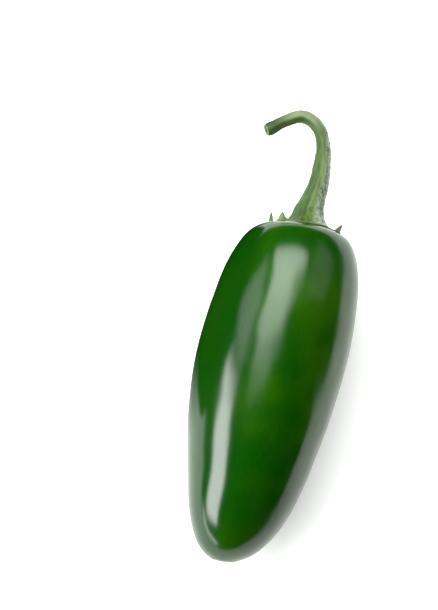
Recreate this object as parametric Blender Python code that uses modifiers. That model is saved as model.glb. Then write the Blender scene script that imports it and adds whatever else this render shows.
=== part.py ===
"""A picked green chilli, jalapeno type, lying on its side: pod, calyx and hooked stalk.

Units are metres and +Z is up. Each piece is modelled standing on the pod's tip, with the pod's
core line along its own Z, and the parent empty then lays the whole chilli down along +Y.
"""

import math

import bmesh
import bpy
from mathutils import Matrix, Vector
from mathutils.geometry import interpolate_bezier

MM = 0.001

# Pod: a body turned round its core line, given by its outline from tip to crest.
POD_LENGTH = 70.9 * MM
BELLY_RADIUS = 15.5 * MM
BELLY_HEIGHT = 44.7 * MM
BELLY_REACH = (12.5 * MM, 6.7 * MM)     # how far the belly's curve runs towards tip and crest
FLANK_RADIUS = 11.2 * MM
FLANK_HEIGHT = 14.2 * MM
FLANK_SLOPE = math.radians(12.7)
FLANK_REACH = (5.6 * MM, 8.3 * MM)
TIP_REACH = 6.6 * MM
CREST_RADIUS = 7.75 * MM
CREST_REACH = 7.05 * MM
DIP_DEPTH = 1.0 * MM
POD_SIDES = 48

# The core line drifts sideways: its offset at five even heights, tip first.
CORE_DRIFT = (-4.9 * MM, -2.8 * MM, -1.9 * MM, -0.4 * MM, 0.0)
# The calyx and the stalk sit a little off the shoulder's middle, and the dip follows them.
TOP_LEAN = 1.4 * MM
SHOULDER_SHARE = 0.25                   # the top share of the pod over which the lean fades in

# How the chilli lies: its thinner tip end sinks, and its own weight flattens the skin a little.
TIP_DROP = math.radians(3.0)
FLAT_DEPTH = 0.25 * MM

# Calyx: a thin green cap on the shoulder, with the stubs of its sepals standing on the rim.
GAP = 0.3 * MM                          # air left between neighbouring pieces
CALYX_RADIUS = 8.1 * MM
CALYX_RISE = 0.65 * MM                  # its top face, above the crest
CALYX_RIM = 0.25 * MM                   # drop of the rounded rim
CALYX_SIDES = 48
TOOTH_RING = 7.4 * MM
TOOTH_RADIUS = 0.65 * MM
TOOTH_POINT = 0.12 * MM
# The sepal stubs, as angle round the calyx, height in mm and outward lean, both angles in degrees.
TEETH = (
    (22, 1.5, 32),
    (132, 1.9, 4),
    (166, 2.2, 4),
    (207, 1.6, 18),
    (250, 1.8, 24),
    (295, 1.4, 15),
    (336, 1.7, 26),
)

# Stalk: sideways place, height above the crest, rise towards the viewer's side, and radius.
STALK_ROUTE = (
    (1.7, 0.95, 0.0, 5.1),
    (1.7, 2.2, 0.0, 4.15),
    (1.85, 4.4, 0.0, 3.25),
    (2.3, 7.1, 0.0, 2.65),
    (2.9, 10.5, 0.0, 2.25),
    (3.05, 15.3, 0.0, 1.9),
    (2.6, 19.8, 0.0, 1.5),
    (0.8, 23.5, 0.0, 1.45),
    (-2.5, 25.1, 0.0, 1.45),
    (-6.1, 23.5, 0.3, 1.3),
    (-9.2, 21.05, 0.8, 1.35),
    (-9.8, 20.7, 0.9, 1.25),
)
STALK_STEPS = 3                         # curve steps between two of the stalk's points
STALK_ROUNDNESS = 3                     # bevel resolution, which gives a round of ten sides


def clear_scene():
    for item in list(bpy.data.objects):
        bpy.data.objects.remove(item, do_unlink=True)


def new_collection(name):
    group = bpy.data.collections.new(name)
    bpy.context.scene.collection.children.link(group)
    return group


def new_material(name, colour, roughness, metallic=0.0):
    material = bpy.data.materials.new(name)
    material.use_nodes = True
    shader = material.node_tree.nodes["Principled BSDF"]
    shader.inputs["Base Color"].default_value = (*colour, 1.0)
    shader.inputs["Roughness"].default_value = roughness
    shader.inputs["Metallic"].default_value = metallic
    return material


def bezier_run(arcs):
    """The points along joined Bezier arcs, each arc being its four control points and a count."""
    points = []
    for start, reach_out, reach_in, end, count in arcs:
        run = interpolate_bezier(Vector(start), Vector(reach_out), Vector(reach_in), Vector(end), count)
        points += run[1:] if points else run
    return points


def turned(name, profile, sides, group):
    """A round body from a profile that runs top to bottom at +X."""
    mesh = bpy.data.meshes.new(name)
    edges = [(i, i + 1) for i in range(len(profile) - 1)]
    mesh.from_pydata([(p[0], 0.0, p[1]) for p in profile], edges, [])
    piece = bpy.data.objects.new(name, mesh)
    group.objects.link(piece)
    screw = piece.modifiers.new("turn", "SCREW")
    screw.axis = "Z"
    screw.steps = sides
    screw.render_steps = sides
    screw.use_merge_vertices = True
    screw.merge_threshold = 0.00001
    return piece


def made_mesh(piece):
    """Replaces the piece's mesh by the one that its modifiers or its curve make, and returns it."""
    graph = bpy.context.evaluated_depsgraph_get()
    mesh = bpy.data.meshes.new_from_object(piece.evaluated_get(graph))
    piece.modifiers.clear()
    piece.data = mesh
    return mesh


def smooth(mesh, angle=40):
    mesh.shade_smooth()
    mesh.set_sharp_from_angle(angle=math.radians(angle))


def dip_arc(lift, count):
    """The shallow dip in the pod's top, from its middle out to the crest, raised by lift."""
    top = POD_LENGTH + lift
    low = top - DIP_DEPTH
    return ((0, low), (CREST_RADIUS * 0.35, low), (CREST_RADIUS * 0.6, top), (CREST_RADIUS, top), count)


def pod_profile():
    slope = Vector((math.sin(FLANK_SLOPE), math.cos(FLANK_SLOPE)))
    belly = Vector((BELLY_RADIUS, BELLY_HEIGHT))
    flank = Vector((FLANK_RADIUS, FLANK_HEIGHT))
    crest = Vector((CREST_RADIUS, POD_LENGTH))
    shoulder = (
        crest,
        crest + Vector((CREST_REACH, 0)),
        belly + Vector((0, BELLY_REACH[1])),
        belly,
        18,
    )
    side = (
        belly,
        belly - Vector((0, BELLY_REACH[0])),
        flank + FLANK_REACH[1] * slope,
        flank,
        12,
    )
    nose = (flank, flank - FLANK_REACH[0] * slope, (TIP_REACH, 0), (0, 0), 13)
    return bezier_run((dip_arc(0.0, 7), shoulder, side, nose))


def core_offset(height):
    """The core line's sideways drift: the smooth curve through CORE_DRIFT's even stations."""
    place = height / POD_LENGTH * (len(CORE_DRIFT) - 1)
    total = 0.0
    for i, drift in enumerate(CORE_DRIFT):
        share = 1.0
        for k in range(len(CORE_DRIFT)):
            if k != i:
                share *= (place - k) / (i - k)
        total += drift * share
    return total


def top_lean(radius, height):
    """How far the shoulder leans over towards the calyx: most in the dip, nothing at the belly."""
    rise = (height / POD_LENGTH - 1 + SHOULDER_SHARE) / SHOULDER_SHARE
    rise = min(max(rise, 0.0), 1.0)
    inward = max(1 - (radius / BELLY_RADIUS) ** 2, 0.0)
    return TOP_LEAN * inward * rise * rise * (3 - 2 * rise)


def flatten_underside(mesh):
    """Cuts the little flat that the pod rests on, square to the way it lies."""
    down = Matrix.Rotation(math.radians(90) - TIP_DROP, 3, "X") @ Vector((0, 0, -1))
    lowest = max(v.co.dot(down) for v in mesh.vertices)
    shape = bmesh.new()
    shape.from_mesh(mesh)
    cut = bmesh.ops.bisect_plane(
        shape,
        geom=shape.verts[:] + shape.edges[:] + shape.faces[:],
        dist=0.000001,
        plane_co=down * (lowest - FLAT_DEPTH),
        plane_no=down,
        clear_outer=True,
    )
    rim = [item for item in cut["geom_cut"] if isinstance(item, bmesh.types.BMEdge)]
    bmesh.ops.contextual_create(shape, geom=rim)
    bmesh.ops.recalc_face_normals(shape, faces=shape.faces[:])
    shape.to_mesh(mesh)
    shape.free()


def make_pod(group):
    pod = turned("pod", pod_profile(), POD_SIDES, group)
    mesh = made_mesh(pod)
    for v in mesh.vertices:
        radius = math.hypot(v.co.x, v.co.y)
        v.co.x += core_offset(v.co.z) + top_lean(radius, v.co.z)
    flatten_underside(mesh)
    smooth(mesh)
    mesh.materials.append(new_material("pod_skin", (0.02, 0.11, 0.004), 0.22))
    return pod


def make_teeth(group):
    """The sepal stubs, as cones that stand on the calyx's rim and lean outwards."""
    shape = bmesh.new()
    for angle, height, outward in TEETH:
        round_axis = Matrix.Rotation(-math.radians(angle), 4, "Z")
        place = Matrix.Translation((TOOTH_RING, 0, POD_LENGTH + CALYX_RISE - CALYX_RIM))
        lean = Matrix.Rotation(math.radians(outward), 4, "Y")
        stand = Matrix.Translation((0, 0, height * MM / 2))
        bmesh.ops.create_cone(
            shape,
            cap_ends=True,
            segments=12,
            radius1=TOOTH_RADIUS,
            radius2=TOOTH_POINT,
            depth=height * MM,
            matrix=round_axis @ place @ lean @ stand,
        )
    mesh = bpy.data.meshes.new("teeth")
    shape.to_mesh(mesh)
    shape.free()
    teeth = bpy.data.objects.new("teeth", mesh)
    group.objects.link(teeth)
    teeth.hide_render = True
    teeth.display_type = "WIRE"
    return teeth


def make_calyx(group, helpers):
    top = POD_LENGTH + CALYX_RISE
    inner = CALYX_RADIUS - 2 * CALYX_RIM
    face = [Vector((0, top)), Vector((inner * 0.5, top))]
    rim = ((inner, top), (CALYX_RADIUS, top), (CALYX_RADIUS, top - CALYX_RIM), (CREST_RADIUS - GAP, POD_LENGTH + GAP), 6)
    under = bezier_run((dip_arc(GAP, 7),))[::-1]
    profile = face + bezier_run((rim,)) + [p for p in under if p[0] < CREST_RADIUS - 2 * GAP]
    calyx = turned("calyx", profile, CALYX_SIDES, group)
    made_mesh(calyx)
    join = calyx.modifiers.new("teeth", "BOOLEAN")
    join.operation = "UNION"
    join.object = make_teeth(helpers)
    mesh = made_mesh(calyx)
    mesh.transform(Matrix.Translation((TOP_LEAN, 0, 0)))
    smooth(mesh)
    mesh.materials.append(new_material("calyx_green", (0.16, 0.25, 0.06), 0.5))
    return calyx


def make_stem(group):
    curve = bpy.data.curves.new("stem", "CURVE")
    curve.dimensions = "3D"
    curve.bevel_depth = 1.0
    curve.bevel_resolution = STALK_ROUNDNESS
    curve.resolution_u = STALK_STEPS
    curve.render_resolution_u = STALK_STEPS
    curve.use_fill_caps = True
    spline = curve.splines.new("BEZIER")
    spline.bezier_points.add(len(STALK_ROUTE) - 1)
    for point, (side, rise, forward, radius) in zip(spline.bezier_points, STALK_ROUTE):
        point.co = (side * MM, -forward * MM, POD_LENGTH + rise * MM)
        point.radius = radius * MM
        point.handle_left_type = "AUTO"
        point.handle_right_type = "AUTO"
    stem = bpy.data.objects.new("stem", curve)
    group.objects.link(stem)
    graph = bpy.context.evaluated_depsgraph_get()
    mesh = bpy.data.meshes.new_from_object(stem.evaluated_get(graph))
    bpy.data.objects.remove(stem, do_unlink=True)
    shape = bmesh.new()
    shape.from_mesh(mesh)
    bmesh.ops.remove_doubles(shape, verts=shape.verts[:], dist=0.000001)
    bmesh.ops.recalc_face_normals(shape, faces=shape.faces[:])
    shape.to_mesh(mesh)
    shape.free()
    stem = bpy.data.objects.new("stem", mesh)
    group.objects.link(stem)
    smooth(mesh)
    mesh.materials.append(new_material("stem_green", (0.2, 0.3, 0.1), 0.55))
    return stem


def lay_down(pieces, group):
    """Lays the chilli along +Y, its underside on Z = 0 and its box centred on the origin."""
    holder = bpy.data.objects.new("chilli", None)
    group.objects.link(holder)
    holder.rotation_euler = (TIP_DROP - math.radians(90), 0, 0)
    turn = holder.rotation_euler.to_matrix()
    corners = [turn @ v.co for piece in pieces for v in piece.data.vertices]
    low = [min(c[i] for c in corners) for i in range(3)]
    high = [max(c[i] for c in corners) for i in range(3)]
    holder.location = (-(low[0] + high[0]) / 2, -(low[1] + high[1]) / 2, -low[2])
    for piece in pieces:
        piece.parent = holder


clear_scene()
parts = new_collection("chilli_pepper")
cutters = new_collection("cutters")
lay_down([make_pod(parts), make_calyx(parts, cutters), make_stem(parts)], parts)
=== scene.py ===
# %% [markdown]
# # A picked green chilli
#
# This lesson finishes one green chilli of the jalapeno type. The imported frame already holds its
# true size and place in three plain solids: the pod, the thin calyx on its shoulder, and the hooked
# stalk. Each of the three gets its real shape and surface here. The order is: the helpers, the
# camera, the pod, the calyx, the stalk, their finishes, and last the table and the light.

# %% Load the frame and keep its box
import math

import bpy
import numpy as np
from mathutils import Matrix, Vector, noise
from mathutils.geometry import interpolate_bezier


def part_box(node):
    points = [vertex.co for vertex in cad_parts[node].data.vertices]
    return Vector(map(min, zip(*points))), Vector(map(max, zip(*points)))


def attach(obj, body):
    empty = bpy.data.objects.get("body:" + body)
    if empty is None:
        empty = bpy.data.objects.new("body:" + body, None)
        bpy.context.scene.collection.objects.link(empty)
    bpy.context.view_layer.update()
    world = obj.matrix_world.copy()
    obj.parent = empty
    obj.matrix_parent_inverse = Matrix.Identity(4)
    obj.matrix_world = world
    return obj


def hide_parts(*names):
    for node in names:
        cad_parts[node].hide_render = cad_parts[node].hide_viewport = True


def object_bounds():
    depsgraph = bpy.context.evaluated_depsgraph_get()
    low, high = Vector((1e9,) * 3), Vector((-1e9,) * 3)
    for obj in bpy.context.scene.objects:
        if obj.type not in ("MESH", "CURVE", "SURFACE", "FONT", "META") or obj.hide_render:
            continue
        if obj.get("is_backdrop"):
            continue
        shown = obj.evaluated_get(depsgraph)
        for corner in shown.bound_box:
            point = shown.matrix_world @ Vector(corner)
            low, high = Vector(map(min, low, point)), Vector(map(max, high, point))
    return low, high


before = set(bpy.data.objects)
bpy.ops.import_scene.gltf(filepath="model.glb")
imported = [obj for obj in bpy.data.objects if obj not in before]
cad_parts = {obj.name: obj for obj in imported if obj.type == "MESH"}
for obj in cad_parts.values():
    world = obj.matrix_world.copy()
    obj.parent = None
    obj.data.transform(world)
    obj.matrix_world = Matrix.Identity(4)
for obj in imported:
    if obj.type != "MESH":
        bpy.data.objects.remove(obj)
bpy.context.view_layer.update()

MM = 0.001

# %% [markdown]
# ## Helpers for modelling
#
# An operator works on whatever is selected, and loading the frame leaves its nodes selected, so
# every step starts from an empty selection. A modifier is applied as soon as it is set, as one
# would do by hand before going on. The last helper keeps a copy of every point's place as an
# attribute, in millimetres. A finish can then follow the piece as it was modelled, straight and
# upright, although the piece is bent and laid down afterwards.

# %% Helpers for modelling
def only(piece=None):
    """Leaves edit mode and selects one piece, or nothing."""
    if bpy.context.object and bpy.context.object.mode != "OBJECT":
        bpy.ops.object.mode_set(mode="OBJECT")
    bpy.ops.object.select_all(action="DESELECT")
    if piece:
        piece.select_set(True)
        bpy.context.view_layer.objects.active = piece


def apply_modifier(piece, kind, **settings):
    only(piece)
    step = piece.modifiers.new(kind.lower(), kind)
    for name, value in settings.items():
        setattr(step, name, value)
    bpy.ops.object.modifier_apply(modifier=step.name)


def keep_places(piece, name):
    """Stores where each point is now, in mm, as an attribute that a finish can read."""
    places = np.array([v.co for v in piece.data.vertices]) / MM
    layer = piece.data.attributes.new(name, "FLOAT_VECTOR", "POINT")
    layer.data.foreach_set("vector", places.ravel())


def pulled(name, sides, rings):
    """A closed body: a circle pulled through rings of (sideways, height, radius), ends closed."""
    only()
    sideways, height, radius = rings[0]
    bpy.ops.mesh.primitive_circle_add(vertices=sides, radius=radius, fill_type="NOTHING")
    body = bpy.context.object
    body.name = name
    bpy.ops.object.mode_set(mode="EDIT")
    bpy.ops.mesh.select_mode(type="EDGE")
    bpy.ops.mesh.select_all(action="SELECT")
    bpy.ops.transform.translate(value=(sideways, 0, height))
    for last, ring in zip(rings, rings[1:]):
        step = (ring[0] - last[0], 0, ring[1] - last[1])
        share = ring[2] / last[2]
        bpy.ops.mesh.extrude_region_move(TRANSFORM_OT_translate={"value": step})
        bpy.ops.transform.resize(value=(share, share, 1), center_override=(ring[0], 0, ring[1]))
    bpy.ops.mesh.fill_grid(span=sides // 4)
    bpy.ops.mesh.select_all(action="DESELECT")
    bpy.ops.mesh.select_non_manifold()
    bpy.ops.mesh.fill_grid(span=sides // 4)
    bpy.ops.mesh.select_all(action="SELECT")
    bpy.ops.mesh.normals_make_consistent(inside=False)
    bpy.ops.mesh.select_all(action="DESELECT")
    bpy.ops.object.mode_set(mode="OBJECT")
    return body


def smooth_step(x):
    x = min(max(x, 0.0), 1.0)
    return x * x * (3 - 2 * x)


def between(value, ends):
    """How far a value has come from the first end to the last, eased at both."""
    return smooth_step((value - ends[0]) / (ends[1] - ends[0]))


print("a quarter of the way, eased:", smooth_step(0.25))

# %% [markdown]
# ## The camera
#
# The chilli lies on a table and is seen from high above its tip. A long lens keeps the taper of
# the pod true. The camera's place is given by its two angles and its distance, and by the point
# that it looks at, which is the middle of the view.

# %% Camera
CAMERA_AZIMUTH = math.radians(9.03)
CAMERA_ELEVATION = math.radians(75)
CAMERA_DISTANCE = 370.9 * MM
VIEW_MIDDLE = Vector((-13.39, 8.03, -0.25)) * MM

camera_back = Vector((
    math.sin(CAMERA_AZIMUTH) * math.cos(CAMERA_ELEVATION),
    -math.cos(CAMERA_AZIMUTH) * math.cos(CAMERA_ELEVATION),
    math.sin(CAMERA_ELEVATION),
))
only()
bpy.ops.object.camera_add(
    location=VIEW_MIDDLE + CAMERA_DISTANCE * camera_back,
    rotation=camera_back.to_track_quat("Z", "Y").to_euler(),
)
camera = bpy.context.object
camera.data.lens = 100
camera.data.clip_start = 0.01
bpy.context.scene.camera = camera
print("camera height in mm:", round(camera.location.z / MM))

# %% [markdown]
# ## The pod's outline
#
# A jalapeno pod is nearly a body turned round its core: a blunt tip, a flank that widens slowly,
# the belly at two thirds of its height, and a broad shoulder that rolls over into a shallow dip
# for the calyx. Four joined Bezier arcs give that outline. It is easiest to model the pod standing
# on its tip and to lay it down at the end.

# %% Outline of the standing pod, as radius and height
POD_LENGTH = 70.9 * MM
BELLY = Vector((15.5, 44.7)) * MM
FLANK = Vector((11.2, 14.2)) * MM
CREST = Vector((7.75, 70.9)) * MM
DIP = Vector((0.0, 69.9)) * MM
FLANK_SLOPE = Vector((math.sin(math.radians(12.7)), math.cos(math.radians(12.7)))) * MM
OUT = Vector((MM, 0))
UP = Vector((0, MM))

arcs = (
    (Vector((0, 0)), 6.6 * OUT, FLANK - 5.6 * FLANK_SLOPE, FLANK),
    (FLANK, FLANK + 8.3 * FLANK_SLOPE, BELLY - 12.5 * UP, BELLY),
    (BELLY, BELLY + 6.7 * UP, CREST + 7.05 * OUT, CREST),
    (CREST, CREST - 3.1 * OUT, DIP + 2.7 * OUT, DIP),
)
outline = np.vstack([[tuple(p) for p in interpolate_bezier(*arc, 80)] for arc in arcs])
outline_run = np.concatenate([[0], np.cumsum(np.hypot(*np.diff(outline, axis=0).T))])
print("outline from tip to dip in mm:", round(outline_run[-1] / MM, 1))

# %% [markdown]
# ## The pod's body
#
# A circle near the tip is pulled up ring by ring along the outline. Each ring also moves sideways
# a little, because a pod that hung on its plant is never quite straight. A grid of faces closes
# both ends: a fan of triangles would pinch the highlight there. The subdivision comes after.

# %% Pod: rings pulled up from the tip
POD_SIDES = 48
RING_STEP = 2.0 * MM
CORE_DRIFT = np.array([-4.9, -2.8, -1.9, -0.4, 0.0]) * MM    # at five even heights, tip first
core_curve = np.polyfit(np.linspace(0, POD_LENGTH, len(CORE_DRIFT)), CORE_DRIFT, 4)
TOP_LEAN = 1.4 * MM
SHOULDER_SHARE = 0.25


def ring_centre(radius, height):
    """The core's sideways drift, and the lean of the shoulder towards the calyx."""
    rise = smooth_step((height / POD_LENGTH - 1 + SHOULDER_SHARE) / SHOULDER_SHARE)
    lean = TOP_LEAN * max(1 - (radius / BELLY.x) ** 2, 0) * rise
    return float(np.polyval(core_curve, height)) + lean


ring_count = round(outline_run[-1] / RING_STEP)
rings = []
for run in np.linspace(0, outline_run[-1], ring_count + 1)[1:-1]:
    radius = float(np.interp(run, outline_run, outline[:, 0]))
    height = float(np.interp(run, outline_run, outline[:, 1]))
    rings.append((ring_centre(radius, height), height, radius))

pod = pulled("pod_body", POD_SIDES, rings)
apply_modifier(pod, "SUBSURF", levels=2, render_levels=2)
print("pod rings:", len(rings), "faces:", len(pod.data.polygons))

# %% [markdown]
# ## What growing did to the pod
#
# A pod isn't a lathe's work. Three chambers inside leave very shallow lobes round the shoulder,
# and the thin skin is nowhere quite even: it swells over a centimetre, and it ripples over a few
# millimetres, more along the pod than across it. The edges of the highlights wander for that
# reason. All of these are small moves of the points, square to the core. The tip keeps the little
# scar where the flower fell off: a dent with a raised dot.

# %% Pod: lobes, uneven skin and the tip's scar
LOBE_DEPTH = 0.22 * MM
LOBES = 3
LOBE_TURN = 0.6                # radians, where the first lobe stands
LOBES_START = 0.72             # share of the pod's height at which the lobes begin
CALM_MIDDLE = 4.0 * MM         # near the core the skin stays even, so that the ends don't pinch
LOBE_MIDDLE = 5.0 * MM
WAVE = 11.0 * MM
WAVE_HEIGHT = 0.10 * MM
RIPPLE = 3.6 * MM
RIPPLE_HEIGHT = 0.08 * MM
RIPPLE_STRETCH = 0.5           # the ripple is twice as long along the pod
RING_PULL = 0.09 * MM          # subdivision draws the rings in by about this much
SCAR_RADIUS = 0.9 * MM
SCAR_DEPTH = 0.25 * MM
SCAR_DOT = 0.35                # the dot's radius as a share of the scar's
DOT_HEIGHT = 0.9               # the dot's height as a share of the scar's depth
SCAR_ZONE = 5.0 * MM           # height under which the scar is looked for

keep_places(pod, "standing")
for v in pod.data.vertices:
    height = v.co.z
    centre = float(np.polyval(core_curve, height))
    away = Vector((v.co.x - centre, v.co.y, 0))
    distance = away.length
    outward = away.normalized() if distance > 0 else Vector((1, 0, 0))
    angle = math.atan2(outward.y, outward.x)
    shoulder = smooth_step((height / POD_LENGTH - LOBES_START) / (1 - LOBES_START))
    shoulder *= smooth_step(distance / LOBE_MIDDLE)
    lobes = LOBE_DEPTH * shoulder * (math.cos(LOBES * angle + LOBE_TURN) - 1) / 2
    along = Vector((v.co.x, v.co.y, RIPPLE_STRETCH * v.co.z))
    uneven = WAVE_HEIGHT * noise.noise(v.co / WAVE) + RIPPLE_HEIGHT * noise.noise(along / RIPPLE)
    uneven *= smooth_step(distance / CALM_MIDDLE)
    v.co += outward * (lobes + uneven + RING_PULL)
    if height < SCAR_ZONE:
        dent = math.exp(-(distance / SCAR_RADIUS) ** 2)
        dot = math.exp(-(distance / (SCAR_DOT * SCAR_RADIUS)) ** 2)
        v.co.z += SCAR_DEPTH * (dent - DOT_HEIGHT * dot)
print("skin swells by mm:", WAVE_HEIGHT / MM, "and ripples by mm:", RIPPLE_HEIGHT / MM)

# %% [markdown]
# ## Laying the chilli down
#
# The whole chilli is turned on its side, with the tip three degrees down. The frame's own pod says
# where it lies: the sides and the top are matched to its box, which also puts the underside a
# quarter of a millimetre below the table. The skin gives way there, so those points are lifted to
# the table, and a small flat is left to rest on.

# %% Lay down
TIP_DROP = math.radians(3.0)
turn = Matrix.Rotation(TIP_DROP - math.radians(90), 4, "X")
pod_low, pod_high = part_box("pod")
lying = np.array([turn @ v.co for v in pod.data.vertices])
shift = Vector((
    (pod_low.x + pod_high.x - lying[:, 0].min() - lying[:, 0].max()) / 2,
    (pod_low.y + pod_high.y - lying[:, 1].min() - lying[:, 1].max()) / 2,
    pod_high.z - lying[:, 2].max(),
))
LAY_DOWN = Matrix.Translation(shift) @ turn


def lay_down(piece, node):
    """Turns the finished mesh into its place and puts the piece in for the frame's plain solid."""
    piece.data.transform(LAY_DOWN)
    for v in piece.data.vertices:
        v.co.z = max(v.co.z, 0.0)
    only(piece)
    bpy.ops.object.shade_smooth()
    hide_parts(node)
    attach(piece, "root")
    print(piece.name, "faces:", len(piece.data.polygons))


lay_down(pod, "pod")

# %% [markdown]
# ## The calyx
#
# The calyx is what is left of the flower's green cup: a thin saucer that hugs the dip in the
# shoulder, with seven small pointed teeth on its rim. It starts as a small circle round the
# stalk's foot and is pulled outwards over the saucer, round the rim and back underneath. The teeth
# are then pulled out of the rim's own faces, narrower with each pull.

# %% Calyx: saucer
CALYX_SIDES = 96
CREST_TOP = POD_LENGTH         # the crest is the highest ring of the pod
CALYX_RINGS = (        # radius and height above the crest, in mm, from the middle over the rim
    (3.6, 1.10), (4.9, 1.12), (5.5, 0.85), (6.2, 0.62), (7.0, 0.48), (7.6, 0.42),
    (7.95, 0.36), (8.08, 0.20), (7.95, 0.0), (7.3, -0.04), (6.4, -0.1), (5.2, -0.35),
    (4.0, -0.6), (3.0, -0.7),
)
TEETH = (              # degrees round the calyx, height in mm, outward lean in degrees
    (22, 1.5, 32), (132, 1.4, 4), (166, 2.2, 4), (207, 1.6, 18),
    (250, 1.8, 24), (295, 1.4, 15), (336, 1.7, 26),
)

calyx_rings = [(TOP_LEAN, CREST_TOP + rise * MM, r * MM) for r, rise in CALYX_RINGS]
calyx = pulled("calyx_saucer", CALYX_SIDES, calyx_rings)
print("calyx faces before the teeth:", len(calyx.data.polygons))

# %% Calyx: teeth pulled from the rim
TOOTH_HALF_WIDTH = math.radians(8)
TOOTH_RING = (6.6 * MM, 8.0 * MM)
UPWARD = 0.5                   # a face that looks at least this much upwards is on the top side
TOOTH_PULLS = ((0.10, 0.88), (0.28, 0.78), (0.32, 0.62), (0.30, 0.22))    # share of height, scale

for degrees, tall, outward in TEETH:
    direction = Vector((math.cos(-math.radians(degrees)), math.sin(-math.radians(degrees)), 0))
    only(calyx)
    bpy.ops.object.mode_set(mode="EDIT")
    bpy.ops.mesh.select_mode(type="FACE")
    bpy.ops.mesh.select_all(action="DESELECT")
    bpy.ops.object.mode_set(mode="OBJECT")
    for face in calyx.data.polygons:
        place = face.center - Vector((TOP_LEAN, 0, 0))
        place.z = 0
        near = place.angle(direction, math.pi) < TOOTH_HALF_WIDTH
        on_rim = TOOTH_RING[0] < place.length < TOOTH_RING[1]
        face.select = near and on_rim and face.normal.z > UPWARD
    picked = [f.center.copy() for f in calyx.data.polygons if f.select]
    foot = sum(picked, Vector()) / len(picked)
    bpy.ops.object.mode_set(mode="EDIT")
    lean = math.radians(outward)
    way = direction * math.sin(lean) + Vector((0, 0, math.cos(lean)))
    for share, scale in TOOTH_PULLS:
        step = way * tall * MM * share
        foot += step
        bpy.ops.mesh.extrude_region_move(TRANSFORM_OT_translate={"value": step})
        bpy.ops.transform.resize(value=(scale, scale, scale), center_override=foot)
apply_modifier(calyx, "SUBSURF", levels=1, render_levels=1)
print("calyx teeth:", len(TEETH), "faces:", len(calyx.data.polygons))

# %% [markdown]
# ## The calyx's ribs and rim
#
# A rib runs from the stalk's foot out to each tooth, and between the ribs the saucer has dried into
# fine crinkles, like cloth drawn round a neck. The rim draws in between two teeth and waves up and
# down. A small nub sits beside the stalk's foot. How much a point lies on a rib is kept as an
# attribute, so that the finish can make the ribs paler.

# %% Calyx: ribs and a wavy rim
RIB_HEIGHT = 0.50 * MM
RIB_WIDTH = 0.75 * MM
RIB_START = (4.4 * MM, 5.2 * MM)      # distance from the core at which ribs rise out of the foot
RIB_FALL = 0.4                        # share of its height that a rib loses towards the rim
CRINKLE = 0.16 * MM
CRINKLE_TURNS = 5.0                   # noise steps round the calyx
CRINKLE_RUN = 9.0 * MM                # length of a crinkle outwards
TOP_SIDE = 0.4 * MM                   # above the crest by this much, a point is on the top side
RIM_START = (4.5 * MM, 7.0 * MM)
RIM_WAVE = 0.22 * MM
RIM_WAVES = 2.3                       # noise steps round the rim
RIM_BAY = 0.45 * MM                   # how far the rim draws in between two teeth
BAY_START = (6.8 * MM, 8.0 * MM)
BAY_SIDE = 2.0 * MM                   # how far from a tooth the bay begins
NUB_PLACE = (-4.6 * MM, -3.6 * MM)
NUB_RADIUS = 0.6 * MM
NUB_HEIGHT = 0.8 * MM

tooth_angles = [math.radians(-tooth[0]) for tooth in TEETH]
ribs = []
keep_places(calyx, "standing")
for v in calyx.data.vertices:
    x, y = v.co.x - TOP_LEAN, v.co.y
    distance = math.hypot(x, y)
    angle = math.atan2(y, x)
    round_x, round_y = math.cos(angle), math.sin(angle)
    gap = min(abs(math.remainder(angle - tooth, math.tau)) for tooth in tooth_angles)
    rib = math.exp(-(gap * distance / RIB_WIDTH) ** 2)
    reach = between(distance, RIM_START)
    top = smooth_step((v.co.z - CREST_TOP) / TOP_SIDE)
    start = between(distance, RIB_START)
    crinkle = noise.noise(Vector((
        CRINKLE_TURNS * round_x, CRINKLE_TURNS * round_y, distance / CRINKLE_RUN,
    )))
    v.co.z += (RIB_HEIGHT * rib * (1 - RIB_FALL * reach) + CRINKLE * crinkle) * top * start
    ribs.append(max(rib, 0.5 + crinkle) * start)
    bay = RIM_BAY * between(distance, BAY_START) * (1 - math.exp(-(gap * distance / BAY_SIDE) ** 2))
    v.co.x -= bay * round_x
    v.co.y -= bay * round_y
    uneven = noise.noise(Vector((round_x, round_y, 0.3)) * RIM_WAVES)
    v.co.z += RIM_WAVE * uneven * reach * top
    nub = math.hypot(x - NUB_PLACE[0], y - NUB_PLACE[1]) / NUB_RADIUS
    v.co.z += NUB_HEIGHT * math.exp(-nub ** 2) * top
calyx.data.attributes.new("rib", "FLOAT", "POINT").data.foreach_set("value", ribs)
lay_down(calyx, "calyx")

# %% [markdown]
# ## The stalk
#
# The stalk leaves the calyx with a wide foot, thins to a neck and bends over to a hook, where it
# was snipped from the plant. It is pulled up straight first, ring by ring, and then bent along a
# curve by a Curve modifier. That way its ribs are carved on a straight piece, and the bend doesn't
# make the inside of the hook too tight.

# %% Stalk: the line it follows
STALK_ROUTE = (        # sideways, above the crest, towards the upper side, radius, all in mm
    (1.7, 0.95, 0.0, 5.1), (1.7, 2.2, 0.0, 4.15), (1.85, 4.4, 0.0, 3.25), (2.3, 7.1, 0.0, 2.65),
    (2.9, 10.5, 0.0, 2.25), (3.05, 15.3, 0.0, 1.9), (2.6, 19.8, 0.0, 1.5), (0.8, 23.5, 0.0, 1.45),
    (-2.5, 25.1, 0.0, 1.45), (-6.1, 23.5, 0.3, 1.3), (-9.2, 21.05, 0.8, 1.35),
    (-9.8, 20.7, 0.9, 1.25),
)

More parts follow.
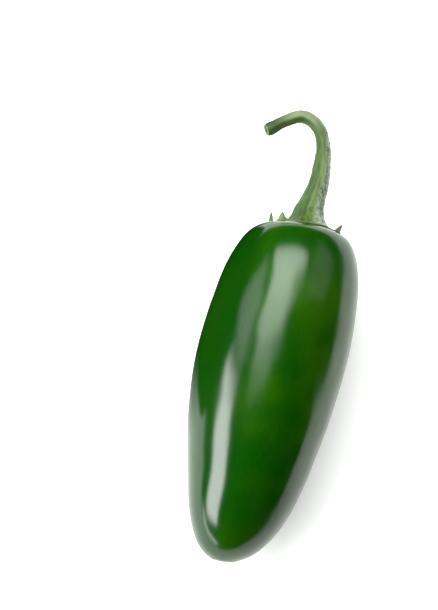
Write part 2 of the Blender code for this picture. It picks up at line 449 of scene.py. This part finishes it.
only()
curve_data = bpy.data.curves.new("stalk_line", "CURVE")
curve_data.dimensions = "3D"
curve_data.resolution_u = 24
spline = curve_data.splines.new("BEZIER")
spline.bezier_points.add(len(STALK_ROUTE) - 1)
for point, (side, rise, forward, radius) in zip(spline.bezier_points, STALK_ROUTE):
    point.co = Vector((side, -forward, rise)) * MM + Vector((0, 0, CREST_TOP))
    point.handle_left_type = "AUTO"
    point.handle_right_type = "AUTO"
stalk_line = bpy.data.objects.new("stalk_line", curve_data)
bpy.context.scene.collection.objects.link(stalk_line)
bpy.context.view_layer.update()
knots = spline.bezier_points
knot_run = [0.0]
for a, b in zip(knots, knots[1:]):
    arc = interpolate_bezier(a.co, a.handle_right, b.handle_left, b.co, 25)
    knot_run.append(knot_run[-1] + sum((q - p).length for p, q in zip(arc, arc[1:])))
STALK_LENGTH = knot_run[-1]
print("stalk length in mm:", round(STALK_LENGTH / MM, 1))

# %% Stalk: rings pulled up straight
STALK_SIDES = 48
STALK_STEP = 0.8 * MM
radii = [p[3] * MM for p in STALK_ROUTE]
runs = np.linspace(0, STALK_LENGTH, round(STALK_LENGTH / STALK_STEP) + 1)
stalk_rings = [(0.0, float(run), float(np.interp(run, knot_run, radii))) for run in runs]
end_radius = stalk_rings[-1][2]
CUT_FACE = (           # height past the end in mm, share of the end's radius, from rim to pith
    (0.10, 0.96), (0.02, 0.84), (-0.18, 0.70), (-0.30, 0.45), (-0.42, 0.38), (-0.5, 0.2),
)
for rise, share in CUT_FACE:
    stalk_rings.append((0.0, STALK_LENGTH + rise * MM, end_radius * share))

stem = pulled("stem_stalk", STALK_SIDES, stalk_rings)
apply_modifier(stem, "SUBSURF", levels=2, render_levels=2)
keep_places(stem, "straight")
print("stalk rings:", len(stalk_rings), "faces:", len(stem.data.polygons))

# %% [markdown]
# ## The stalk's ribs and wrinkles
#
# Five ribs run up the stalk with a slight twist and fade towards the hook. The flank that faced the
# sun is finely wrinkled across, low down. The stalk swells a little just before the cut. How deep
# each point lies in a furrow is kept as an attribute for the finish. Then the stalk is bent.

# %% Stalk: ribs, wrinkles and the swollen cut end
RIBS = 5
RIB_TURN = math.radians(35)
RIB_TWIST = math.radians(1.1) / MM
RIB_SHARE = 0.10                       # depth of a furrow as a share of the radius
RIB_ROUND = 1.5                        # over one, the furrow is narrow and the rib is wide
RIBS_RISE = 3.0 * MM                   # the ribs come up out of the foot over this height
RIBS_FADE = (22 * MM, 34 * MM)         # and get this much weaker towards the cut:
RIBS_LOSS = 0.55
WRINKLE_STEP = 1.1 * MM
WRINKLE_SQUASH = 0.5
WRINKLE_DEPTH = 0.05 * MM
WRINKLED_SIDE = math.radians(160)
WRINKLES_FADE = (16 * MM, 24 * MM)
CUT_SWELL = 0.10
SWELL_BACK = 0.9 * MM                  # how far before the cut the swelling is widest
SWELL_RUN = 1.0 * MM
KNOBBLE = 0.05
KNOBBLE_STEP = 1.5 * MM
CALM_CORE = 0.8 * MM                   # the cut face's middle keeps its shape
ON_AXIS = 0.0001 * MM                  # nearer to the axis than this, a point faces no side

grooves = [0.0] * len(stem.data.vertices)
for v in stem.data.vertices:
    run = v.co.z
    away = Vector((v.co.x, v.co.y, 0))
    distance = away.length
    if distance < ON_AXIS:
        continue
    angle = math.atan2(v.co.y, v.co.x)
    body = smooth_step(distance / CALM_CORE)
    rib = abs(math.cos(RIBS / 2 * (angle + RIB_TURN + RIB_TWIST * run)))
    fade = smooth_step(run / RIBS_RISE) * (1 - RIBS_LOSS * between(run, RIBS_FADE))
    carve = -RIB_SHARE * (1 - rib) ** RIB_ROUND * fade
    grooves[v.index] = (1 - rib) ** 2 * fade
    side = max(math.cos(angle - WRINKLED_SIDE), 0) ** 2
    low = 1 - between(run, WRINKLES_FADE)
    squashed = Vector((v.co.x * WRINKLE_SQUASH, v.co.y * WRINKLE_SQUASH, run))
    wrinkle = noise.noise(squashed / WRINKLE_STEP)
    swell = CUT_SWELL * math.exp(-((run - STALK_LENGTH + SWELL_BACK) / SWELL_RUN) ** 2)
    knobbly = KNOBBLE * noise.noise(v.co / KNOBBLE_STEP)
    v.co += away * (carve + swell + knobbly) * body
    v.co += away.normalized() * WRINKLE_DEPTH * wrinkle * side * low * body
stem.data.attributes.new("groove", "FLOAT", "POINT").data.foreach_set("value", grooves)

only(stem)
bend = stem.modifiers.new("bend", "CURVE")
bend.object = stalk_line
bend.deform_axis = "POS_Z"
bpy.ops.object.modifier_apply(modifier="bend")
only(stalk_line)
bpy.ops.object.delete()
lay_down(stem, "stem")

# %% [markdown]
# ## Helpers for finishes
#
# Colours are written as the hex values that a colour picker shows, and one function turns them
# into the linear values that a shader works in. Another adds a node, sets it and links it. Most
# finishes are then built up as a painter would do it: coat after coat, each with a mask that says
# how much of it shows, so a loop over the coats is all that is needed.

# %% Helpers for finishes
MIX_BY, MIX_FROM, MIX_TO, MIXED = 0, 6, 7, 2     # the sockets of a Mix node that mixes colours
EASED = {"interpolation_type": "SMOOTHSTEP"}     # a Map Range node that is eased at both ends


def linear(hex_colour):
    channels = [int(hex_colour[i:i + 2], 16) / 255 for i in (1, 3, 5)]
    return (*[c / 12.92 if c <= 0.04045 else ((c + 0.055) / 1.055) ** 2.4 for c in channels], 1.0)


def add(tree, kind, inputs, **settings):
    """Adds one node; inputs are values or other nodes' sockets, settings are its own fields."""
    node = tree.nodes.new("ShaderNode" + kind)
    for name, value in settings.items():
        setattr(node, name, value)
    for name, value in inputs.items():
        if isinstance(value, bpy.types.NodeSocket):
            tree.links.new(value, node.inputs[name])
        else:
            node.inputs[name].default_value = value
    return node


def new_finish(name, piece):
    """An empty material on a piece; gives its node tree and its shader."""
    finish = bpy.data.materials.new(name)
    finish.use_nodes = True
    piece.data.materials.clear()
    piece.data.materials.append(finish)
    return finish.node_tree, finish.node_tree.nodes["Principled BSDF"]


print("dark pod green in linear light:", [round(c, 4) for c in linear("#0A4500")])

# %% [markdown]
# ## The pod's skin
#
# A fresh chilli has a thin cuticle of wax over dark green flesh, which gives it a clear, slightly
# soft gloss, as polished by hand. The green is warmer in clouds a centimetre or two wide. Painted
# shade makes it deeper and cooler on the left flank and towards the tip. Under the wax run faint
# pale flecks along the pod. The wax itself is uneven at half a millimetre. All the scales are in
# mm, because the "standing" attribute is.

# %% Finish: waxy chilli skin
WAX_ROUGHNESS = 0.17
WAX_IOR = 1.5
CLOUD = 16.0                           # sizes in mm
FLECK = 0.7
FLECK_SQUASH = 0.22                    # flecks are drawn out along the pod by this much
WAX_GRAIN = 0.5
PAINTED_SHADE_SIDE = (-1.0, -10.0)              # sideways mm, from where the painted shade starts to where it is full
PAINTED_SHADE_TIP = (34.0, 12.0)                # height in mm, from where the painted shade starts near the belly to where it is full near the tip

tree, shader = new_finish("waxy_chilli_skin", pod)
shader.inputs["Roughness"].default_value = WAX_ROUGHNESS
shader.inputs["IOR"].default_value = WAX_IOR
standing = add(tree, "Attribute", {}, attribute_name="standing").outputs["Vector"]
parts = add(tree, "SeparateXYZ", {"Vector": standing}).outputs
clouds = add(
    tree, "TexNoise", {"Vector": standing, "Scale": 1 / CLOUD, "Detail": 2.0, "Roughness": 0.5},
).outputs["Fac"]
drawn_out = add(tree, "Mapping", {"Vector": standing, "Scale": (1.0, 1.0, FLECK_SQUASH)}).outputs[0]
flecks = add(
    tree, "TexNoise", {"Vector": drawn_out, "Scale": 1 / FLECK, "Detail": 3.0},
).outputs["Fac"]

skin_masks = {}
for name, value, ends, strength, easing in (
    ("warm", clouds, (0.35, 0.65), 1.0, EASED),
    ("flecks", flecks, (0.5, 0.8), 0.06, {}),
    ("painted shade left flank", parts["X"], PAINTED_SHADE_SIDE, 0.85, EASED),
    ("painted shade tip", parts["Z"], PAINTED_SHADE_TIP, 0.4, EASED),
):
    skin_masks[name] = add(
        tree, "MapRange",
        {"Value": value, "From Min": ends[0], "From Max": ends[1], "To Max": strength},
        **easing,
    ).outputs["Result"]
# Painted shade: the green is made deeper and cooler on the left flank and towards the tip.
painted_shade = add(
    tree, "Math", {0: skin_masks["painted shade left flank"], 1: skin_masks["painted shade tip"]}, operation="MAXIMUM",
).outputs[0]
skin = linear("#0A4500")
for mask, hex_colour in (
    (skin_masks["warm"], "#265600"),
    (skin_masks["flecks"], "#4E8A1E"),
    # the deep green of the painted shade
    (painted_shade, "#003200"),
):
    skin = add(
        tree, "Mix", {MIX_BY: mask, MIX_FROM: skin, MIX_TO: linear(hex_colour)},
        data_type="RGBA",
    ).outputs[MIXED]
tree.links.new(skin, shader.inputs["Base Color"])
grain = add(
    tree, "TexNoise", {"Vector": standing, "Scale": 1 / WAX_GRAIN, "Detail": 3.0},
).outputs["Fac"]
bump = add(tree, "Bump", {"Height": grain, "Strength": 0.15, "Distance": 0.03 * MM})
tree.links.new(bump.outputs["Normal"], shader.inputs["Normal"])
print("skin masks:", list(skin_masks))

# %% [markdown]
# ## The calyx's finish
#
# The calyx is a dried-out leaf rather than skin: matt, a greyer green than the stalk, mottled at
# about a millimetre. Its teeth dry first, so they turn greyish brown towards their points. The
# height above the crest, kept from the modelling, says where the teeth are.

# %% Finish: calyx leaf
LEAF_ROUGHNESS = 0.5
PLANT_IOR = 1.45                       # matt plant tissue, on the calyx and the stalk
MOTTLE = 1.1                           # mm
RIB_PALENESS = 0.6
TOOTH_TIPS = (POD_LENGTH / MM + 0.9, POD_LENGTH / MM + 2.2)     # heights in mm, from green to dry
TOOTH_DRYNESS = 0.8

tree, shader = new_finish("dry_calyx_leaf", calyx)
shader.inputs["Roughness"].default_value = LEAF_ROUGHNESS
shader.inputs["IOR"].default_value = PLANT_IOR
standing = add(tree, "Attribute", {}, attribute_name="standing").outputs["Vector"]
height = add(tree, "SeparateXYZ", {"Vector": standing}).outputs["Z"]
mottle = add(
    tree, "TexNoise", {"Vector": standing, "Scale": 1 / MOTTLE, "Detail": 4.0},
).outputs["Fac"]
rib_share = add(tree, "Attribute", {}, attribute_name="rib").outputs["Fac"]
on_rib = add(tree, "Math", {0: rib_share, 1: RIB_PALENESS}, operation="MULTIPLY").outputs[0]
dry = add(
    tree, "MapRange",
    {"Value": height, "From Min": TOOTH_TIPS[0], "From Max": TOOTH_TIPS[1], "To Max": TOOTH_DRYNESS},
).outputs["Result"]
leaf = linear("#263F12")
for mask, hex_colour in ((mottle, "#55703C"), (on_rib, "#7F9562"), (dry, "#4C5238")):
    leaf = add(
        tree, "Mix", {MIX_BY: mask, MIX_FROM: leaf, MIX_TO: linear(hex_colour)},
        data_type="RGBA",
    ).outputs[MIXED]
tree.links.new(leaf, shader.inputs["Base Color"])
bump = add(tree, "Bump", {"Height": mottle, "Strength": 0.4, "Distance": 0.12 * MM})
tree.links.new(bump.outputs["Normal"], shader.inputs["Normal"])
print("calyx leaf: mottle of", MOTTLE, "mm, dry tooth tips")

# %% [markdown]
# ## The stalk's finish
#
# The stalk is woody and matt. Long fibres streak it light and dark green, and painted shade darkens
# its furrows. One flank, which faced the sun, carries a pale grey-green bloom of wax that is cracked
# by short dark marks across it, with a thin yellow-green ridge beside it. A painted highlight makes
# the upper side of the hook pale. Towards the cut the green is darker, and the cut itself has a
# pale rim round a dark, dried pith. All of it follows the straight stalk's own places, in mm: its
# height, and the direction round its core.

# %% Finish: stalk fibres
STALK_ROUGHNESS = 0.48
FIBRE = 0.6                            # mm
FIBRE_SQUASH = 0.12                    # fibres are drawn out along the stalk by this much

tree, shader = new_finish("ribbed_stalk_wood", stem)
shader.inputs["Roughness"].default_value = STALK_ROUGHNESS
shader.inputs["IOR"].default_value = PLANT_IOR
straight = add(tree, "Attribute", {}, attribute_name="straight").outputs["Vector"]
height = add(tree, "SeparateXYZ", {"Vector": straight}).outputs["Z"]
core_off = add(
    tree, "VectorMath", {0: straight, 1: (1.0, 1.0, 0.0)}, operation="MULTIPLY",
).outputs[0]
round_it = add(tree, "VectorMath", {0: core_off}, operation="NORMALIZE").outputs[0]
drawn_out = add(tree, "Mapping", {"Vector": straight, "Scale": (1.0, 1.0, FIBRE_SQUASH)}).outputs[0]
fibre = add(
    tree, "TexNoise",
    {"Vector": drawn_out, "Scale": 1 / FIBRE, "Detail": 6.0, "Roughness": 0.65},
).outputs["Fac"]
bump = add(tree, "Bump", {"Height": fibre, "Strength": 0.6, "Distance": 0.18 * MM})
tree.links.new(bump.outputs["Normal"], shader.inputs["Normal"])
print("stalk fibres:", FIBRE, "mm wide")

# %% Finish: masks for the stalk's coats
STALK_END = STALK_LENGTH / MM
PATCH = 0.9                            # sizes in mm
CRACK = 0.55
CRACK_SQUASH = (0.6, 0.6, 2.0)         # cracks are short along the stalk and long round it
SIDES = {                              # directions round the straight stalk
    "bloom side": (-0.94, 0.34, 0.0),
    "painted hook highlight": (-0.8, 0.6, 0.0),
    # the side of the hook that gets a painted highlight
    "ridge": (-0.12, 0.993, 0.0),
}

facing = {}
for name, side in SIDES.items():
    facing[name] = add(
        tree, "VectorMath", {0: round_it, 1: side}, operation="DOT_PRODUCT",
    ).outputs["Value"]
squashed = add(tree, "Mapping", {"Vector": straight, "Scale": CRACK_SQUASH}).outputs[0]
cracks = add(tree, "TexNoise", {"Vector": squashed, "Scale": 1 / CRACK, "Detail": 3.0}).outputs["Fac"]
patches = add(tree, "TexNoise", {"Vector": straight, "Scale": 1 / PATCH, "Detail": 4.0}).outputs["Fac"]
from_core = add(tree, "VectorMath", {0: core_off}, operation="LENGTH").outputs["Value"]
furrow = add(tree, "Attribute", {}, attribute_name="groove").outputs["Fac"]

# Each mask rises from nothing at its start to its strength at its end; heights are in mm.
masks = {}
for name, value, start, end, strength, easing in (
    ("fibre", fibre, 0.3, 0.7, 1.0, {}),
    ("bloom side", facing["bloom side"], 0.42, 0.8, 1.0, EASED),
    ("below the hook", height, 27.0, 17.0, 1.0, EASED),
    ("patches", patches, 0.25, 0.55, 1.0, EASED),
    ("cracks", cracks, 0.55, 0.66, 0.75, EASED),
    # the painted shade in the furrows, weaker towards the hook
    ("furrow height", height, 30.0, 20.0, 0.6, EASED),
    ("near the cut", height, 27.0, 34.0, 0.6, EASED),
    # where the painted highlight on the hook faces
    ("hook highlight facing", facing["painted hook highlight"], 0.0, 0.7, 1.0, EASED),
    ("from the hook", height, 21.0, 25.0, 0.6, EASED),
    ("short of the cut", height, STALK_END - 2.0, STALK_END - 8.0, 1.0, EASED),
    ("ridge line", facing["ridge"], 0.93, 1.0, 0.45, EASED),
    ("ridge height", height, 31.0, 22.0, 1.0, EASED),
    ("ridge breaks", fibre, 0.3, 0.6, 1.0, EASED),
    ("cut face", height, STALK_END - 0.05, STALK_END + 0.03, 1.0, EASED),
    ("pith", from_core, 1.0, 0.55, 1.0, EASED),
    ("last bit", height, STALK_END - 0.8, STALK_END - 0.6, 1.0, EASED),
):
    masks[name] = add(
        tree, "MapRange",
        {"Value": value, "From Min": start, "From Max": end, "To Max": strength}, **easing,
    ).outputs["Result"]
masks["furrow"] = furrow
masks["cut or pith"] = add(
    tree, "Math", {0: masks["cut face"], 1: masks["pith"]}, operation="MAXIMUM",
).outputs[0]

# Where two masks both have to hold, they are multiplied.
for name, one, other in (
    ("bloom", "bloom side", "below the hook"),
    ("bloom cover", "bloom", "patches"),
    ("bloom cracks", "bloom", "cracks"),
    ("furrow shade", "furrow", "furrow height"),
    ("painted hook highlight", "hook highlight facing", "from the hook"),
    ("painted hook highlight", "painted hook highlight", "short of the cut"),
    ("ridge", "ridge line", "ridge height"),
    ("ridge", "ridge", "ridge breaks"),
    ("cut", "cut or pith", "last bit"),
):
    masks[name] = add(
        tree, "Math", {0: masks[one], 1: masks[other]}, operation="MULTIPLY",
    ).outputs[0]
print("stalk masks:", len(masks))

# %% Finish: the stalk's coats, from the fibres to the cut
cut_colour = add(
    tree, "Mix", {MIX_BY: masks["pith"], MIX_FROM: linear("#98A276"), MIX_TO: linear("#2A2C16")},
    data_type="RGBA",
).outputs[MIXED]
stalk_colour = linear("#1C3B08")
for name, coat in (
    ("fibre", linear("#507030")),
    ("bloom cover", linear("#A6B99E")),       # pale wax on the flank that faced the sun
    ("bloom cracks", linear("#47592F")),
    # painted shade in the furrows
    ("furrow shade", linear("#2C4416")),
    ("near the cut", linear("#2A3E12")),
    # painted highlight on the upper side of the hook
    ("painted hook highlight", linear("#97A37A")),
    ("ridge", linear("#70832C")),
    ("cut", cut_colour),
):
    stalk_colour = add(
        tree, "Mix", {MIX_BY: masks[name], MIX_FROM: stalk_colour, MIX_TO: coat},
        data_type="RGBA",
    ).outputs[MIXED]
tree.links.new(stalk_colour, shader.inputs["Base Color"])
print("cut face at", round(STALK_END, 1), "mm")

# %% [markdown]
# ## The table and the backdrop
#
# The chilli lies on a white acrylic table that is lit from below as well as from above, so its
# shadow stays light. The table's glow fades out before its edge, into a pale paper all round it.
# The paper is there for the camera alone: it lights nothing, and the skin doesn't mirror it.

# %% Table and backdrop
TABLE_SIZE = 1.2                # metres
TABLE_GLOW = 0.49
TABLE_FADE = (0.16, 0.42)       # metres from the middle, where the lit table gives way
BACKDROP_RADIUS = 1.2           # metres

only()
bpy.ops.mesh.primitive_plane_add(size=TABLE_SIZE)
table = bpy.context.object
table.name = "table"
table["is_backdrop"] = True
tree, shader = new_finish("lit_white_acrylic", table)
shader.inputs["Base Color"].default_value = linear("#F2F2F2")
shader.inputs["Roughness"].default_value = 0.9
shader.inputs["Specular IOR Level"].default_value = 0.0
shader.inputs["Emission Color"].default_value = linear("#FFFFFF")
shader.inputs["Emission Strength"].default_value = TABLE_GLOW
place = add(tree, "TexCoord", {}).outputs["Object"]
distance = add(tree, "VectorMath", {0: place}, operation="LENGTH").outputs["Value"]
fade = add(
    tree, "MapRange",
    {"Value": distance, "From Min": TABLE_FADE[0], "From Max": TABLE_FADE[1]}, **EASED,
).outputs["Result"]
clear = add(tree, "BsdfTransparent", {}).outputs["BSDF"]
table_top = add(tree, "MixShader", {0: fade, 1: shader.outputs["BSDF"], 2: clear})
tree.links.new(table_top.outputs["Shader"], tree.nodes["Material Output"].inputs["Surface"])

only()
bpy.ops.mesh.primitive_uv_sphere_add(radius=BACKDROP_RADIUS, segments=64, ring_count=32)
backdrop = bpy.context.object
backdrop.name = "backdrop"
backdrop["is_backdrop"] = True
tree, shader = new_finish("pale_backdrop_paper", backdrop)
glow = add(tree, "Emission", {"Color": linear("#FDFDFD"), "Strength": 1.0}).outputs["Emission"]
tree.links.new(glow, tree.nodes["Material Output"].inputs["Surface"])
backdrop.visible_diffuse = False
backdrop.visible_glossy = False
backdrop.visible_shadow = False
print("table fades out at mm:", [round(edge / MM) for edge in TABLE_FADE])

# %% [markdown]
# ## The soft boxes
#
# A glossy skin shows its lights, so each highlight on the pod is a soft box that stands where the
# skin mirrors it. A soft box glows through cloth, so it is bright in the middle and fades towards
# its edges, and so do the highlights. Each is a plane whose four corners are given. They
# are listed with the radiance in the middle, and with the share of the cloth over which it fades:
# at three of its edges, and at the last.

# %% Soft boxes
PIECE_MIDDLE = Vector((0, -8, 15)) * MM
SOFT_BOXES = {
    "soft_box_above": (                # the broad highlight on the upper shoulder
        ((-330, 505, 400), (270, 440, 400), (60, -100, 400), (-170, -120, 400)), 8.0, 0.26, 0.5,
    ),
    "soft_box_left": (                 # the long bright streak
        ((-190, -20, 300), (-330, 110, 160), (-410, -240, 40), (-230, -380, 170)),
        12.0, 0.26, 0.26,
    ),
    "pale_wall_left": (                # the milky band beside the shoulder
        ((-170, 60, 400), (-260, 330, 250), (-420, 160, 120), (-330, -60, 330)), 2.6, 0.3, 0.3,
    ),
    "low_reflector": (                 # the band low on the left, near the tip
        ((-420, -120, 40), (-440, -130, -14), (-120, -430, -14), (-130, -420, 40)),
        7.0, 0.25, 0.25,
    ),
    "pale_wall_right": (               # a faint sheen on the right flank
        ((180, 150, 560), (560, 150, 300), (560, 320, 30), (150, 560, 150)), 0.7, 0.3, 0.3,
    ),
}


def card(name, corners):
    """A four-cornered card seen only by the light; corners are in mm from the chilli's middle."""
    only()
    bpy.ops.mesh.primitive_plane_add(size=1)
    made = bpy.context.object
    made.name = name
    for index, corner in zip((0, 1, 3, 2), corners):
        made.data.vertices[index].co = PIECE_MIDDLE + Vector(corner) * MM
    made.visible_camera = False
    made.visible_shadow = False
    made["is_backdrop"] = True
    return made


for name, (corners, radiance, edge, last_edge) in SOFT_BOXES.items():
    box = card(name, corners)
    tree, shader = new_finish(name + "_cloth", box)
    uv = add(tree, "TexCoord", {}).outputs["UV"]
    across = add(tree, "SeparateXYZ", {"Vector": uv}).outputs
    glow = radiance
    for axis, dark_at, full_at in (
        ("X", 0.0, edge), ("X", 1.0, 1.0 - edge), ("Y", 0.0, edge), ("Y", 1.0, 1.0 - last_edge),
    ):
        fade = add(
            tree, "MapRange",
            {"Value": across[axis], "From Min": dark_at, "From Max": full_at}, **EASED,
        ).outputs["Result"]
        glow = add(tree, "Math", {0: glow, 1: fade}, operation="MULTIPLY").outputs[0]
    light = add(tree, "Emission", {"Color": linear("#FFFFFF"), "Strength": glow}).outputs["Emission"]
    tree.links.new(light, tree.nodes["Material Output"].inputs["Surface"])
print("soft boxes and walls:", len(SOFT_BOXES))

# %% [markdown]
# ## The painted dark reflections
#
# Two dark green shapes give the left flank a painted reflection of a neighbouring chilli and of the
# shade it throws on the table, and keep that edge deep. One is a rounded shape about the size of a
# second chilli, and the other is a card just above the table, where that shade would lie. They are
# seen only in reflections, as an even, very dark glow. Their ends fade to clear.

# %% Painted dark reflections beside the left flank
NEIGHBOUR_SHAPE_PLACE = Vector((-35, 8, 15.5)) * MM
NEIGHBOUR_SHAPE_TURN = math.radians(59)
NEIGHBOUR_SHAPE_HALF_SIZE = Vector((34, 15.5, 15.5)) * MM
FLOOR_SHADE_CORNERS = ((-13, -22, -14.4), (-60, -22, -14.4), (-45, 60, -14.4), (-9, 60, -14.4))

only()
bpy.ops.mesh.primitive_uv_sphere_add(
    segments=48, ring_count=24, location=NEIGHBOUR_SHAPE_PLACE, rotation=(0, 0, NEIGHBOUR_SHAPE_TURN),
    scale=NEIGHBOUR_SHAPE_HALF_SIZE,
)
neighbour_shape = bpy.context.object
neighbour_shape.name = "neighbour_reflection_shape"
neighbour_shape.visible_camera = False
neighbour_shape.visible_shadow = False
neighbour_shape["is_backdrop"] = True
floor_shade_card = card("floor_shade_card", FLOOR_SHADE_CORNERS)

# Each fade runs along one axis, from where the painted reflection is clear to where it is whole.
for stand_in, finish_name, hex_colour, measured_by, fades in (
    # painted reflection of a neighbouring chilli
    (neighbour_shape, "painted_neighbour_reflection", "#0C2408", "Object", (("X", -0.95, -0.35),)),
    (
        # painted reflection of the shade on the table between the two chillies
        floor_shade_card, "painted_floor_shade_reflection", "#0C1A0A", "UV",
        (("X", 1.0, 0.55), ("Y", 0.0, 0.35), ("Y", 1.0, 0.8)),
    ),
):
    tree, shader = new_finish(finish_name, stand_in)
    place = add(tree, "TexCoord", {}).outputs[measured_by]
    across = add(tree, "SeparateXYZ", {"Vector": place}).outputs
    whole = 1.0
    for axis, clear_at, whole_at in fades:
        fade = add(
            tree, "MapRange",
            {"Value": across[axis], "From Min": clear_at, "From Max": whole_at}, **EASED,
        ).outputs["Result"]
        whole = add(tree, "Math", {0: whole, 1: fade}, operation="MULTIPLY").outputs[0]
    dark = add(tree, "Emission", {"Color": linear(hex_colour), "Strength": 1.0}).outputs["Emission"]
    clear = add(tree, "BsdfTransparent", {}).outputs["BSDF"]
    cloth = add(tree, "MixShader", {0: whole, 1: clear, 2: dark}).outputs["Shader"]
    tree.links.new(cloth, tree.nodes["Material Output"].inputs["Surface"])
    stand_in.visible_diffuse = False
print("painted dark reflections: 2")

# %% [markdown]
# ## The dark room and the sizes
#
# The room itself is almost black, which keeps the green deep between the highlights. The Standard
# view shows colours as the finishes state them. The last cell prints the finished box.

# %% Dark room
ROOM_GREY = (0.008, 0.008, 0.008, 1)      # in linear light

studio = bpy.data.worlds.new("dark_studio")
studio.use_nodes = True
studio.node_tree.nodes["Background"].inputs["Color"].default_value = ROOM_GREY
bpy.context.scene.world = studio
bpy.context.scene.view_settings.view_transform = "Standard"
print("room:", studio.name)

# %% Sizes and the end
low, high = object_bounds()
print("visual box in mm:", [round((b - a) / MM, 1) for a, b in zip(low, high)])
